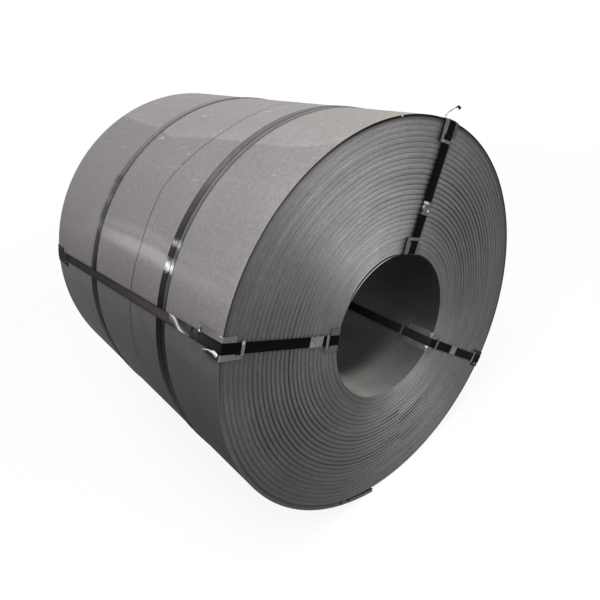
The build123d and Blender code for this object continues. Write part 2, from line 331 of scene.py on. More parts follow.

# How strongly the turns stand out on an end, in shape and in painted shade between them, by the angle from
# the top, and by radius
SHAPE_RELIEF = (
    (-180, 0.95), (-168, 0.9), (-155, 0.6), (-140, 0.35), (-125, 0.3), (-110, 0.4), (-95, 0.5), (-80, 0.7),
    (-65, 0.85), (-50, 0.85), (-35, 0.6), (-20, 0.4), (-5, 0.3), (10, 0.15), (25, 0.09), (40, 0.1),
    (55, 0.2), (70, 0.6), (85, 0.9), (100, 1), (115, 0.8), (130, 0.6), (145, 0.5), (160, 0.7), (180, 0.95),
)
GROOVE_SHADE_RELIEF = (
    (-180, 1.1), (-168, 1.1), (-155, 1), (-140, 0.3), (-125, 0.2), (-110, 0.4), (-95, 0.42), (-80, 0.62),
    (-65, 0.68), (-50, 0.42), (-35, 0.3), (-20, 0.25), (-5, 0.26), (10, 0.2), (25, 0.18), (40, 0.18),
    (55, 0.4), (70, 0.38), (85, 0.42), (100, 0.46), (115, 0.36), (130, 0.36), (145, 0.42), (160, 0.68),
    (175, 0.95), (180, 1.1),
)
RADIAL_RELIEF = (
    (BORE, 0.4), (0.31, 0.45), (0.38, 0.82), (0.46, 1), (0.54, 0.85), (0.62, 0.5), (RADIUS + 0.024, 0.4),
)

# The innermost turn hangs loose round this angle: how wide its arc, its skin and its gap are
LOOSE = 105.9
LOOSE_SPAN = 27.0
LOOSE_SKIN = 0.0044
LOOSE_GAP = 0.0055
LOOSE_DEEP = 0.06

LAP_START = TAIL - TAIL_LAP
LAP_OFFSET = (TIP_RADIUS**2 - RADIUS**2) / (2 * (RADIUS - TIP_RADIUS * math.cos(math.radians(TAIL_LAP))))


def lap_nodes(p, turn):
    """How far the last lap's outside stands beyond the coil's circle."""
    past = p.most(turn - (LAP_START - 90), 0.0) * (turn < TAIL - 90) * (math.pi / 180)
    side = p.calc("SINE", past) * LAP_OFFSET
    reach = p.calc("SQRT", (RADIUS + LAP_OFFSET) ** 2 - side * side)
    ahead = p.calc("COSINE", past) * LAP_OFFSET
    return p.most(reach - ahead - RADIUS, 0.0)


def end_colour(p, turn, radius, depth, lift, facing):
    """The ends: streaks along the turns, with painted light and shade: dark lines of painted shade between
    the turns, paler at the upper left, at the top and at the bottom, and darker at the sides.
    """
    ring = p.vector(radius, turn * 0.0022, depth)
    lanes = p.noise(ring, 230.0, 4.0, 0.7)
    broad = p.noise(ring, 24.0, 2.0, 0.6)
    # Painted light and shade round the end: paler at the upper left, at the top and at the bottom and
    # towards the bore, darker at the sides, with more painted shade at the right nearer the bore, on the
    # outer turns from the bottom round to the upper right, and on the inner turns at the left and lower
    # left
    light = p.curve(
        turn, (-180, 0.27), (-168, 0.3), (-155, 0.29), (-142, 0.192), (-125, 0.171), (-110, 0.16),
        (-95, 0.16), (-80, 0.163), (-65, 0.163), (-50, 0.172), (-35, 0.2), (-20, 0.22), (-8, 0.282),
        (10, 0.346), (24, 0.325), (31, 0.265), (40, 0.193), (55, 0.142), (70, 0.117), (85, 0.138),
        (100, 0.126), (115, 0.112), (130, 0.12), (145, 0.13), (160, 0.185), (175, 0.243), (180, 0.27),
    )
    light = light * p.curve(radius, (BORE, 1.2), (0.31, 1.2), (0.4, 1.12), (0.55, 0.95), (RADIUS, 0.86))
    shaded = (
        p.curve(turn, (-180, 0), (-118, 0), (-98, 1), (-38, 1), (-22, 0), (0, 0))
        * p.curve(radius, (BORE, 0.2), (0.4, 0.19), (0.5, 0.06), (0.56, 0), (RADIUS, 0))
    )
    outside = (
        p.curve(
            turn, (-180, 1), (-152, 1), (-140, 0.1), (-120, 0.1), (-105, 0.6), (-90, 0.9), (-66, 0.9),
            (-50, 0.5), (-35, 0.4), (-25, 0), (160, 0), (180, 1),
        )
        * p.curve(radius, (0.5, 0), (0.57, 0), (0.6, 0.06), (0.64, 0.15), (RADIUS, 0.17))
    )
    inside = (
        p.curve(turn, (60, 0), (76, 0), (85, 1), (135, 1), (155, 0.6), (180, 0.2))
        * p.curve(radius, (BORE, 0.12), (0.31, 0.1), (0.37, 0), (RADIUS, 0))
    )
    light = light * (1.0 - shaded - outside - inside)
    colour = p.tint(p.grey(light), p.colours(broad, (0.35, "f6f6f6"), (0.65, "faf5f7")))

    slip = lift / PITCH
    held = p.calc("MINIMUM", slip, 1.0)
    outermost = radius > held * PITCH + (RADIUS - PITCH)
    slip = held + (slip - held) * outermost
    count = (radius - BORE) / PITCH - slip
    index = p.calc("FLOOR", count)
    off = abs(count - index - 0.5) * 2.0
    # Painted shade in the gaps between the turns, uneven from turn to turn
    gap = p.curve(off, (0, 0), (0.3, 0.04), (0.55, 0.25), (0.75, 0.55), (0.9, 0.9), (1, 1))
    relief = p.curve(turn, *GROOVE_SHADE_RELIEF) * p.curve(radius, *RADIAL_RELIEF)
    uneven = p.noise(p.vector(index * 7.3, turn * 0.012, 0.0), 1.0, 1.0)
    uneven = p.curve(uneven, (0.25, 0.3), (0.5, 0.95), (0.75, 1.8))
    shadow = p.clamped(1.0 - gap * relief * uneven)
    grit = p.noise(p.where, 330.0, 2.0, 0.6)
    # The turns' streaks and grit, times the painted shade in their gaps
    grain_and_groove_shade = (
        p.curve(lanes, (0.28, 0.82), (0.5, 1), (0.72, 1.2)) * p.curve(grit, (0.2, 0.8), (0.8, 1.24))
        * p.curve(broad, (0.2, 0.88), (0.8, 1.12)) * shadow
    )
    # Painted shade on the sides of the turns, darker as they face away from the end
    flank = p.curve(facing, (0, 0.4), (0.5, 0.5), (0.86, 0.9), (0.95, 1))
    colour = p.tint(colour, p.grey(grain_and_groove_shade * flank))

    # Painted shade at the rim: a dark first gap in from the rim at the left and lower left, and a dark line
    # round the rim, strongest at the top and right
    inside = lift + RADIUS - radius
    first_gap = (
        p.curve(inside, (0, 0), (0.008, 0), (0.0125, 1), (0.0155, 1), (0.02, 0), (0.03, 0))
        * p.curve(turn, (60, 0), (85, 0.2), (110, 0.45), (150, 0.5), (180, 0))
    )
    colour = p.blend(first_gap, colour, "161616")
    reach = p.curve(
        turn, (-180, 0.7), (-150, 0.7), (-110, 0.8), (-60, 0.8), (-30, 1), (5, 1), (35, 0.6), (180, 0.6),
    )
    inside = inside / reach * 0.8
    rim = p.curve(inside, (-0.001, 1), (0.0042, 1), (0.007, 0.6), (0.011, 0.25), (0.022, 0), (0.03, 0))
    where = p.curve(
        turn, (-180, 0), (-165, 0.1), (-145, 0.6), (-125, 0.95), (-30, 1), (0, 1), (18, 0.86), (40, 0.7),
        (70, 0.72), (80, 0.4), (92, 0), (180, 0),
    )
    colour = p.blend(rim * where, colour, "0c0b0b")
    # A painted highlight: a thin pale line along the rim's edge at the left
    edge_highlight = (
        p.within(inside, -0.002, 0.0022)
        * p.curve(turn, (60, 0), (67, 0), (69.5, 1), (96, 0.9), (120, 0.3), (130, 0))
        * 0.36
    )
    colour = p.blend(edge_highlight, colour, "9a9a9a")

    # The painted shadow to the left of the top strap and its protectors' plates, a nick in the rim and two
    # by the tail
    _, up = p.upright()
    _, aside = p.by_top_strap()
    aside = aside - TOP_STRAP_ASIDE
    plates = p.curve(
        radius, (BORE, 0.0215), (0.308, 0.0215), (0.31, 0), (0.602, 0), (0.604, 0.0175), (RADIUS, 0.0175),
    )
    strap_shadow = p.curve(
        aside - plates, (-0.08, 0), (-0.05, 0), (-0.03, 1), (0.004, 1), (0.011, 0.68), (0.02, 0.34),
        (0.034, 0.12), (0.05, 0),
    )
    strap_shadow = strap_shadow * (up > 0.1) * 0.92
    colour = p.blend(strap_shadow, colour, "0d0d0d")
    near_end = depth < MIDWAY
    colour = p.blend(p.spot(*RIM_NICK) * near_end, colour, "d8d8d4")
    colour = p.blend(p.spots(TAIL_NICKS) * near_end, colour, "020202")

    # The innermost turn's edge, which hangs loose and catches the light
    edge = (
        (radius < BORE + LOOSE_SKIN + 0.0002) * near_end
        * p.curve(turn, (-20, 0), (-6, 0), (2, 0.6), (38, 0.6), (46, 0), (60, 0))
    )
    colour = p.blend(edge, colour, "e0e0de")
    return colour


def barrel_colour(p, turn, depth, along, skin, mottle, grain):
    """The barrel: painted light above the left strap and painted shade below it, with its marks, a painted
    highlight band and painted shadow by the torn lip.
    """
    # Painted light and shade: lighter on top and towards the near end, darker down the right side, a little
    # lighter low on the left towards the far end, and dark below the left strap, darkest near the near end
    lit = p.curve(
        turn, (-180, 0.05), (-110, 0.06), (-60, 0.13), (-20, 0.22), (8, 0.21), (22, 0.206), (30, 0.212),
        (40, 0.202), (48, 0.203), (54, 0.2), (58, 0.18), (64, 0.166), (75, 0.16), (180, 0.15),
    )
    lit = lit * p.curve(
        depth, (0, 1.29), (0.05, 1.22), (0.2, 1.16), (0.4, 1.12), (0.62, 1.08), (0.95, 1.03), (WIDTH, 1),
    )
    far_low = (
        p.curve(turn, (50, 0), (57, 0), (61, 1), (80, 1))
        * p.curve(depth, (0, 0), (0.6, 0), (0.85, 1), (WIDTH, 1.25))
    )
    lit = lit * (1.0 + far_low * 0.13)
    near_dark = p.curve(
        turn, (60, 0.106), (72, 0.106), (75, 0.085), (80, 0.073), (85, 0.057), (90, 0.04), (95, 0.023),
        (100, 0.008), (120, 0.004),
    )
    far_dark = p.curve(
        turn, (60, 0.14), (72, 0.14), (75, 0.138), (80, 0.124), (85, 0.112), (90, 0.1), (100, 0.085),
        (120, 0.06),
    )
    deeper = p.curve(
        depth, (0, 0), (0.2, 0.06), (0.4, 0.3), (0.62, 0.55), (0.75, 0.74), (0.95, 1.1), (1.08, 1.28),
        (WIDTH, 1.4),
    )
    dark = near_dark + deeper * (far_dark - near_dark)
    past = turn - p.angle_along(depth, LEFT_STRAP)
    below = p.curve(past, (-2, 0), (-0.5, 0), (0.5, 1), (2, 1))
    barrel = p.blend(below, p.grey(lit), p.grey(dark))
    barrel = p.tint(
        barrel, p.blend(below * 0.85, p.colours(mottle, (0.3, "fbf5f8"), (0.7, "fdf2f7")), "f5f7f6")
    )
    barrel = p.tint(barrel, p.grey(grain))

    # A painted highlight: the faint bright band above the left strap
    off = turn - p.angle_along(depth, SHINE_LINE) + (mottle - 0.5) * 3.0
    shine = p.curve(
        off, (-6, 0), (-4.6, 0.28), (-3.6, 0.34), (-2.4, 0.16), (-0.8, 1), (0.9, 1), (2.6, 0.25), (4.2, 0),
    )
    shine = (
        shine
        * p.curve(
            depth, (0, 0.1), (0.15, 0.2), (0.3, 0.3), (0.36, 0.95), (0.62, 1), (0.8, 0.6), (0.9, 0.2),
            (1.2, 0.05),
        )
        * 0.42
    )
    barrel = p.blend(shine, barrel, "c4c0c0")

    # Pale flecks, and dark smudges on the lower side
    fleck = p.curve(
        p.noise(p.vector(along, depth, 5.0), 60.0, 1.0, 0.4), (0, 0), (0.72, 0), (0.8, 1),
        (1, 1),
    )
    paler = p.curve(turn, (-20, 0.5), (12, 0.42), (20, 0.2), (64, 0.16), (72, 0.03), (80, 0.02))
    barrel = p.blend(fleck * paler, barrel, "d0d0cc")
    slant = p.vector(along + depth * 1.4, depth * 0.35, 2.0)
    smudge = p.curve(p.noise(slant, 6.5, 3.0, 0.6), (0, 0.75), (0.45, 1), (0.7, 1.12), (1, 1.25))
    barrel = p.blend(below, barrel, p.tint(barrel, p.grey(smudge)))

    # The tide mark: paler above a wavy line
    ripple = (p.noise(p.vector(depth, 0.0, 3.0), 22.0, 2.0) - 0.5) * 1.6
    above = p.angle_along(depth, TIDE_MARK) + ripple - turn
    mark = p.curve(above, (-4, 0), (-0.3, 0), (0.5, 1), (3, 0.75), (40, 0.4))
    patches = p.curve(p.noise(skin, 14.0, 4.0, 0.65), (0.3, 0.6), (0.7, 1.3))
    barrel = p.blend(mark * patches * 0.12, barrel, "dcd8d4")
    speckle = p.curve(p.noise(skin, 130.0, 1.0, 0.5), (0, 0), (0.6, 0), (0.7, 1), (1, 1))
    barrel = p.blend((above > 0.0) * speckle * 0.12, barrel, "e8e6e2")
    scratch = p.curve(
        p.noise(p.vector(along, depth * 0.3, 9.0), 52.0, 1.0, 0.4), (0, 0), (0.71, 0), (0.77, 1),
        (1, 1),
    )
    barrel = p.blend(
        scratch * p.curve(above, (-20, 0), (-12, 0.24), (0, 0.34), (20, 0.3)), barrel, "d8d6d4"
    )
    warm = (
        p.curve(turn, (-30, 1), (4, 0.8), (14, 0), (20, 0))
        * p.curve(depth, (0, 1), (0.16, 0.8), (0.34, 0), (0.5, 0))
    )
    barrel = p.blend(warm, barrel, p.tint(barrel, "fffdf2"))

    # The score line with its kink, which fades to a smear lower down
    off = abs(depth - p.curve(turn, *SCORE_LINE))
    width = p.curve(turn, (0, 0.0042), (60, 0.0036), (75, 0.009), (120, 0.016))
    line = p.clamped(1.0 - off / width)
    strong = p.curve(turn, (0, 0.8), (20, 1), (64, 1), (75, 0.65), (95, 0.5), (120, 0.1))
    barrel = p.blend(line * strong, barrel, "141212")

    # Painted shadow round the torn lip of the left rim protector
    lip_shadow = (
        p.curve(turn, (60, 0), (66, 0), (67.4, 1), (68.4, 1), (69.6, 0), (76, 0))
        * p.curve(depth, (0, 0.7), (0.03, 1), (0.06, 0.7), (0.085, 0), (0.2, 0))
        * p.curve(p.noise(skin, 55.0, 3.0, 0.7), (0.35, 0), (0.55, 1))
    )
    return p.blend(lip_shadow * 0.7, barrel, "1a1818")


def bore_colour(p, turn, depth, mottle, grain):
    """The bore: pale where light falls in from the near end, and dark elsewhere."""
    deep = depth + (mottle - 0.5) * 0.05
    far = p.curve(
        deep, (0, 0.045), (0.06, 0.045), (0.1, 0.055), (0.16, 0.065), (0.22, 0.085), (0.29, 0.12),
        (0.38, 0.16), (WIDTH, 0.2),
    )
    reach = p.curve(
        deep, (0, 0.8), (0.06, 0.85), (0.11, 1.05), (0.14, 0.95), (0.168, 0.5), (0.195, 0.12), (0.22, 0),
        (0.4, 0),
    )
    level = p.curve(
        turn, (-180, 0.22), (-170, 0.17), (-158, 0.1), (-150, 0.07), (-142, 0.05), (-127, 0.03), (-112, 0),
        (100, 0), (125, 0.3), (144, 0.45), (150, 0.44), (160, 0.35), (172, 0.29), (180, 0.22),
    )
    raised = (
        p.curve(
            turn, (-180, 1.13), (-155, 1.1), (-140, 1.24), (-125, 1.3), (60, 1.34), (130, 1.2), (160, 1.12),
            (180, 1.13),
        )
        * p.curve(depth, (0, 0.86), (0.1, 0.93), (0.2, 1.08), (0.32, 1.16), (WIDTH, 1.16))
    )
    bore = p.grey(raised * (far + reach * level))
    bore = p.tint(bore, p.blend(p.clamped(reach * (level * 2.4)), "faf5f6", "fcfaf4"))
    return p.tint(bore, p.grey(grain))


def coil_steel():
    """Hot-rolled steel in its mill scale, streaked on the ends, with painted light and shade: pale on top,
    dark below the left strap.
    """
    p = Paint("coil_steel", 0.45, 0.5, 0.15)
    turn, radius, depth = p.polar()
    lift = lap_nodes(p, turn)
    along = turn * (math.pi / 180 * RADIUS)
    skin = p.vector(along, depth, 0.0)
    mottle = p.noise(skin, 5.0, 4.0, 0.6)
    fine = p.noise(skin, 60.0, 3.0, 0.6)
    streaks = p.noise(p.vector(along * 0.2, depth, 0.0), 45.0, 3.0, 0.6)
    speck = p.curve(p.noise(skin, 170.0, 2.0, 0.7), (0.25, 0.78), (0.5, 1), (0.7, 1.16), (1, 1.6))
    cloud = p.curve(mottle, (0.25, 0.93), (0.75, 1.07))
    grain = (
        p.curve(fine, (0.2, 0.86), (0.8, 1.14)) * speck * cloud * p.curve(streaks, (0, 0.95), (1, 1.05))
    )

    toward_x, toward_y, toward_z = p.split(Value(p, p.node("ShaderNodeNewGeometry").outputs["Normal"]))
    facing = abs(toward_y)
    is_end = p.curve(facing, (0, 0), (0.12, 0), (0.5, 1), (1, 1))
    x, up = p.upright()
    outward = (toward_x * x + toward_z * up) / radius > 0.5
    # What faces outwards at the coil's radius is the barrel, and the sides of the gaps are painted dark as
    # shade
    barrel = barrel_colour(p, turn, depth, along, skin, mottle, grain)
    side = p.blend(outward * (radius > RADIUS - 0.004), "0c0c0c", barrel)
    side = p.blend(radius < BORE + 0.0006, side, bore_colour(p, turn, depth, mottle, grain))
    colour = p.blend(is_end, side, end_colour(p, turn, radius, depth, lift, facing))
    return p.finish(colour, p.curve(mottle, (0.2, 0.44), (0.8, 0.58)), fine + streaks, 0.0004, 0.35)


# Strapping's specular level, and its bumps' height and strength
WAX_SPECULAR = 0.03
RUB_BUMP = (0.0001, 0.3)


def worn(p, roughness):
    """Scuffs on a waxed strap: a factor on its colour, its roughness, and the height of its bumps."""
    scuff = p.noise(p.where, 38.0, 4.0, 0.65)
    rub = p.noise(p.where, 240.0, 2.0, 0.6)
    tone = p.curve(scuff, (0, 0.8), (0.55, 1), (0.75, 1.3)) * p.curve(rub, (0, 0.85), (1, 1.18))
    return p.grey(tone), p.curve(scuff, (0.3, roughness - 0.08), (0.75, roughness + 0.15)), rub


def eye_strap_steel():
    """Black waxed strapping, brownish along the barrel, with a painted highlight streak on the left one."""
    p = Paint("eye_strap_steel", 0.0, 0.34, WAX_SPECULAR)
    turn, radius, depth = p.polar()
    outside = radius > RADIUS + 0.001
    along = p.colours(
        depth / WIDTH, (0, "181617"), (0.04, "232021"), (0.09, "2b2728"), (0.14, "332f30"),
        (0.24, "423c3e"), (0.36, "3e393a"), (0.55, "332f30"), (0.72, "2a2828"), (1, "232221"),
    )
    across = abs(turn - p.angle_along(depth, LEFT_STRAP))
    edge = p.curve(across, (0, 1.05), (0.8, 1), (1.1, 0.62), (2, 0.5))
    left = p.within(turn, *LEFT_ANGLES) * outside
    colour = p.blend(radius < BORE, p.blend(outside, "080808", along), "262625")
    colour = p.blend(left, colour, p.tint(colour, p.grey(edge)))

    # The painted highlight streak and its halo, and a grey patch with a dark notch beside it
    off = turn - p.angle_along(depth, LEFT_STREAK)
    wide = p.curve(
        depth, (0.1, 0.1), (0.17, 0.3), (0.2, 0.55), (0.225, 0.75), (0.245, 0.6), (0.27, 0.3), (0.31, 0.14),
        (0.33, 0.02),
    )
    streak = p.clamped(1.0 - abs(off) / wide)
    streak = p.curve(streak, (0, 0), (0.5, 0.3), (1, 0.8)) * p.within(depth, 0.14, 0.33) * left
    halo = (
        p.curve(off, (-2.5, 0), (-1.4, 0), (0, 0.42), (0.8, 0.3), (1.8, 0), (2.5, 0))
        * p.within(depth, 0.15, 0.27) * left
    )
    colour = p.blend(halo, colour, "a8a6a4")
    colour = p.blend(streak, colour, "f4f3f1")
    patch = (
        p.curve(depth, (0.09, 0), (0.105, 0.6), (0.13, 0.9), (0.17, 1), (0.185, 0), (0.2, 0))
        * p.curve(turn, (63, 0.2), (64.6, 1), (65.7, 0.8), (66.5, 0), (68, 0))
        * p.curve(p.noise(p.where, 90.0, 3.0, 0.7), (0.35, 0.1), (0.6, 1)) * left
    )
    colour = p.blend(patch * 0.5, colour, "5a5b5a")
    notch = p.within(depth, 0.137, 0.144) * p.within(turn, 64.5, 65.8) * left
    colour = p.blend(notch, colour, "050505")
    scuffs, gloss, rub = worn(p, 0.34)
    return p.finish(p.tint(colour, scuffs), gloss, rub, *RUB_BUMP)


# The planes of the belly straps, (depth, slope along x, slope along z), and their half width
BELLY_PLANES = {
    "front_over": (0.336, 0.0, 0.0),
    "front_under": (0.2885, -0.0316, 0.0315),
    "back_over": (0.857, 0.0, 0.0),
    "back_under": (0.8825, 0.01105, -0.01103),
}
BELLY_HALF = 0.016
# Each belly strap's colour by the angle from the top, with painted light and shade in it: paler on top and
# dark below
STRAP_TONES = {
    "front_over": (
        (-180, "141313"), (-90, "282526"), (-30, "585456"), (10, "5e5a5b"), (22, "5a5758"), (29, "605c5d"),
        (35, "474444"), (46, "2d2a2a"), (60, "211f1f"), (66, "0c0c0c"), (80, "080808"), (180, "080808"),
    ),
    "front_under": (
        (-180, "1c1e1d"), (-60, "484c4a"), (-10, "656665"), (10, "626262"), (28, "666666"), (38, "5b5c5c"),
        (48, "505352"), (60, "414543"), (66, "282c2b"), (70, "171b1a"), (90, "121514"), (180, "121514"),
    ),
    "back_over": (
        (-180, "181717"), (-90, "2c2a2a"), (-30, "585456"), (8, "6c6869"), (24, "686566"), (36, "5b5859"),
        (46, "434242"), (60, "2e2f2e"), (64.5, "2b2c2b"), (68, "1a1b1a"), (80, "161817"), (180, "121212"),
    ),
    "back_under": (
        (-180, "1c1e1d"), (-60, "484c4a"), (-10, "6a6c6b"), (10, "808180"), (24, "818181"), (34, "7b7c7b"),
        (46, "6a6d6c"), (58, "6f7372"), (64, "5e6463"), (70, "1b1f1e"), (90, "171b1a"), (180, "141716"),
    ),
}
# Where the belly straps catch the light: the angle, how far it spreads, and how bright it is
FRONT_SHINES = ((48.8, 0.7, 0.34), (54.8, 0.9, 0.95), (53.4, 0.5, 0.2))
BACK_SHINES = ((45.9, 1.2, 0.07), (54.5, 1.6, 0.07))


def belly_strap_steel(layer):
    """Waxed strapping round the barrel, with painted light and shade: paler on top, dark below, painted
    highlights where it catches the light, and a dark line down each edge.
    """
    p = Paint("belly_strap_steel_" + layer, 0.0, 0.3, WAX_SPECULAR)
    turn, _, depth = p.polar()
    x, up = p.upright()
    middle, slope_x, slope_z = BELLY_PLANES[layer]
    across = abs(depth - (x * slope_x + up * slope_z + middle)) / BELLY_HALF
    tones = [((angle + 180.0) / 360.0, code) for angle, code in STRAP_TONES[layer]]
    colour = p.colours((turn + 180.0) / 360.0, *tones)
    edge = p.curve(across, (0, 1.05), (0.7, 1), (0.86, 0.72), (1, 0.5))
    scuffs, gloss, rub = worn(p, 0.3)
    colour = p.tint(p.tint(colour, p.grey(edge)), scuffs)
    ragged = turn + (p.noise(p.where, 70.0, 2.0) - 0.5) * 2.2
    for at, spread, strength in FRONT_SHINES if layer.startswith("front") else BACK_SHINES:
        off = abs(ragged - at) / (spread * 2)
        spot = p.curve(off, (0, 1), (0.3, 0.8), (0.7, 0.15), (1, 0))
        colour = p.blend(spot * p.curve(edge, (0.5, 0.2), (0.9, 1)) * strength, colour, "f2f4f4")
    tuft = (
        p.curve(p.noise(p.where, 110.0, 2.0, 0.7), (0.4, 0.2), (0.55, 1))
        * p.curve(turn, (30, 0), (37.5, 0), (38.6, 1), (40.2, 1), (41.5, 0), (50, 0))
        * (1.0 if layer.startswith("back") else 0.0)
    )
    return p.finish(p.blend(tuft * 0.6, colour, "161414"), gloss, rub, *RUB_BUMP)


def protector_marks(p, colour):
    """The edge protectors' painted light and shade by their place, where they are blackened, and their
    painted glints and bright torn edges.
    """
    turn, radius, depth = p.polar()
    _, aside = p.by_top_strap()
    right_of_top = aside < TOP_MARGIN_ASIDE
    left = p.within(turn, *LEFT_ANGLES)
    top = p.within(turn, *TOP_ANGLES)
    right = p.within(turn, *RIGHT_ANGLES)
    inner = radius < MID_RADIUS
    outer = 1.0 - inner
    bar = depth < PLATE_FRONT
    plate = 1.0 - bar
    barrel = (radius > RADIUS + 0.001) * left
    near_end = depth < MIDWAY
    # Painted light and shade: each protector lighter or darker by its place, and the left one's barrel
    # margin lighter at the near end and darker deeper in
    tone = 1.0 + left * outer * (bar * 0.42 + plate * 0.16)
    shade_by_depth = p.curve(depth, (0, 0.34), (0.04, 0.2), (0.07, -0.1), (0.12, -0.3))
    tone = tone + barrel * shade_by_depth * near_end
    tone = tone + left * inner * near_end * (bar * 0.5 - 0.16)
    tone = tone - top * right_of_top * (0.46 - inner * 0.4)
    tone = tone + right * (inner * plate * 0.18 + outer * bar * 0.35)
    colour = p.tint(colour, p.grey(tone))

    # Where they are blackened: the left one's lower margin on the barrel, as painted shade under its torn
    # lip, its far one and the right one's plates; the left hook takes the tone of the strap that it crosses
    hook = barrel * p.within(depth, 0.098, 0.2)
    lower = barrel * p.within(depth, 0.004, 0.098) * (turn > 65.9)
    far = p.within(turn, 60.0, 80.0) * (depth > 1.0)
    blackened = p.most(hook, lower, far, right * outer * plate)
    hook_tone = p.curve(
        turn, (60, 0.13), (64.2, 0.13), (64.3, 0.004), (64.85, 0.004), (64.95, 0.012), (66.9, 0.01),
        (67.1, 0.07), (70, 0.07),
    )
    colour = p.blend(blackened * 0.95, colour, p.blend(hook, "141313", p.grey(hook_tone)))
    p.set(p.shader.inputs["Metallic"], SHEET_METALLIC - blackened * SHEET_METALLIC)

    # Painted glints and bright torn metal: at the left hook's bend, at the rim and on the right bore
    # protector's edge
    bright = barrel * p.within(depth, 0.0965, 0.1045) * p.within(turn, 63.75, 64.35)
    bright = p.most(bright, barrel * p.within(depth, 0.0, 0.013) * p.within(turn, 61.0, 62.5) * 0.6)
    bright = p.most(bright, p.spots(GLINT_AND_TORN_SPOTS) * (depth < 0.01))
    return p.blend(bright, colour, "f0f0ee")


def seal_marks(p, colour):
    """The seals' dark and pale flecks, and what only the top one has."""
    turn, _, depth = p.polar()
    fleck = p.noise(p.where, 190.0, 2.0, 0.6)
    colour = p.blend(p.curve(fleck, (0, 0.35), (0.3, 0.35), (0.4, 0), (1, 0)), colour, "4a4a4a")
    colour = p.blend(
        p.curve(fleck, (0, 0), (0.56, 0), (0.66, 0.34), (1, 0.5)), colour, "e4e4e2"
    )
    # The top one's painted glint along its corner, and its dot
    along, aside = p.by_top_strap()
    aside = aside - TOP_SEAL_ASIDE
    top = p.within(turn, -40.0, -15.0) * (depth < 0.0)
    corner = p.most((along > 0.413) * (aside > -0.004), (aside > 0.0125) * (along > 0.4))
    colour = p.blend(top, colour, p.tint(colour, "d8d0d2"))
    colour = p.blend(top * corner * 0.7, colour, "f4f2f2")
    return p.blend(p.spot(*SEAL_DOT) * top, colour, "ffffff")


def sheet_steel(name, code, roughness, marks=None):
    """Plain sheet: grey, a little blotched and brushed."""
    p = Paint(name, SHEET_METALLIC, roughness, 0.1)
    blotch = p.noise(p.where, 26.0, 4.0, 0.6)
    brush = p.noise(p.where, 300.0, 2.0, 0.7)
    tone = p.curve(blotch, (0.2, 0.8), (0.8, 1.22)) * p.curve(brush, (0, 0.88), (1, 1.14))
    colour = p.tint(code, p.grey(tone))
    if marks:
        colour = marks(p, colour)
    gloss = p.curve(blotch, (0.2, roughness - 0.07), (0.8, roughness + 0.1))
    return p.finish(colour, gloss, brush, 0.00015, 0.3)


MATERIALS = {
    "coil_steel": coil_steel(),
    "eye_strap": eye_strap_steel(),
    "protector_steel": sheet_steel("protector_steel", "6c6c6c", 0.4, protector_marks),
    "seal_steel": sheet_steel("seal_steel", "848484", 0.32, seal_marks),
    "torn_steel": sheet_steel("torn_steel", "dcdcdc", 0.3),
}
MATERIALS.update({"belly_strap_" + layer: belly_strap_steel(layer) for layer in BELLY_PLANES})


# ---------------------------------------------------------------- the coil's turns


COLUMNS = 256
NEAR_STEPS = ((0.03, 1.0), (0.1, 0.52), (0.26, 0.14), (0.5, 0.0), (0.74, 0.14), (0.9, 0.52), (0.97, 1.0))
FAR_STEPS = ((0.04, 1.0), (0.2, 0.14), (0.5, 0.0), (0.8, 0.14), (0.96, 1.0))
RIM_STEPS = ((0.03, 1.0), (0.1, 0.52), (0.26, 0.14), (0.5, 0.0), (0.84, 0.0), (0.95, 0.06), (1.0, 0.32))
FAR_RIM_STEPS = ((0.04, 1.0), (0.2, 0.14), (0.5, 0.0), (0.93, 0.04), (1.0, 0.32))
GROOVE = 0.0042
FAR_GROOVE = 0.003
RIM_SUPPORT = 0.0016

# How a turn's edge wanders along the strip: waves of (rate per turn, size), their scale, and a phase for
# each end
STAGGER_WAVES = ((0.371, 1.0), (0.829, 0.8), (1.93, 0.35), (0.113, 0.9), (4.7, 0.12))
STAGGER = 0.00042
NEAR_PHASE = 0.7
FAR_PHASE = 2.1


def between(value, stops):
    """A value through a piecewise curve of (place, height) stops."""
    for (low, start), (high, stop) in zip(stops, stops[1:]):
        if value <= high:
            return start + (stop - start) * max(0.0, value - low) / (high - low)
    return stops[-1][1]


def groove_depth(angle, radius):
    """How deep the near end's turns part from each other."""
    turn = (angle - 90.0 + 180.0) % 360.0 - 180.0
    return GROOVE * between(turn, SHAPE_RELIEF) * between(radius, RADIAL_RELIEF)


def lap_lift(angle):
    """How far the last lap's outside stands beyond the coil's circle."""
    past = math.radians(max(0.0, angle - LAP_START))
    reach = math.sqrt((RADIUS + LAP_OFFSET) ** 2 - (LAP_OFFSET * math.sin(past)) ** 2)
    return reach - LAP_OFFSET * math.cos(past) - RADIUS


def loose(angle):
    """How loose the innermost turn hangs: 1 where its gap is widest, 0 where it lies close."""
    off = ((angle - LOOSE + 180.0) % 360.0 - 180.0) / LOOSE_SPAN
    return max(0.0, 1.0 - off * off) ** 0.6


def stagger(turn, phase):
    """How far a turn's edge stands in from the end: smooth along the strip, and never negative."""
    total = sum(
        size * (1 + math.sin(2 * math.pi * rate * turn + phase * (i + 1)))
        for i, (rate, size) in enumerate(STAGGER_WAVES)
    )
    return total * STAGGER


def ring_points(inner, outer, turn, steps, phase, groove, opened=(0.0, 0.0)):
    """One turn's edge, as (radius, depth) from its inner side out, with gaps opened beside it."""
    share = min(1.0, (outer - inner) / PITCH) ** 0.5
    base = stagger(turn, phase) * share
    points = []
    for i, (at, low) in enumerate(steps):
        depth = groove * (1 - (1 - low) * share)
        if low == 1.0:
            depth += opened[0] if i < len(steps) / 2 else opened[1]
        points.append((inner + at * (outer - inner), base + depth))
    return points


